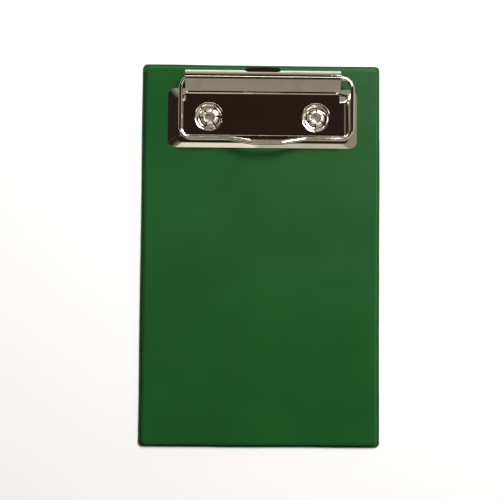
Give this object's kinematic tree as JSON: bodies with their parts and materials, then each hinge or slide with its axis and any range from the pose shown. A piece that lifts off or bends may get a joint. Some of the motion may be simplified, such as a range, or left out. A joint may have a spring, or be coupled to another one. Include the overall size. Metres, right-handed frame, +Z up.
{
  "type": "memo clipboard",
  "caption": "Pocket memo clipboard: vinyl-covered board with a pressed steel clip plate, a sprung wire bail that flips up to free the sheets, and a pull-out hanging loop.",
  "frame": {"origin": "middle of the back face, on the surface that the board lies on", "axes": "+X across the board, +Y along the board towards the clip, +Z up out of the front face"},
  "size_m": [0.1194, 0.191, 0.0117],
  "materials": {
    "greyboard": "raw grey bookbinding board",
    "vinyl_front": "satin dark green vinyl with a fine grain",
    "vinyl_back": "satin dark green vinyl with a fine grain",
    "plated_sheet": "bright nickel plate on pressed steel",
    "plated_rivet": "bright nickel plate on soft steel",
    "plated_wire": "bright nickel plate on spring wire",
    "plated_loop": "bright nickel plate on pressed steel"
  },
  "bodies": {
    "board": {"core_board": "greyboard", "front_cover": "vinyl_front", "back_cover": "vinyl_back", "base_plate": "plated_sheet", "rivet_left": "plated_rivet", "rivet_right": "plated_rivet"},
    "bail": {"wire_bail": "plated_wire"},
    "loop": {"hanging_loop": "plated_loop"}
  },
  "joints": [
    {"name": "bail_hinge", "type": "hinge", "parent": "board", "child": "bail", "pos_m": [0.0006, 0.0872, 0.0083], "axis": [-1, 0, 0], "range_deg": [0, 110]},
    {"name": "loop_slide", "type": "slide", "parent": "board", "child": "loop", "axis": [0, 1, 0], "range_m": [0, 0.006]}
  ]
}
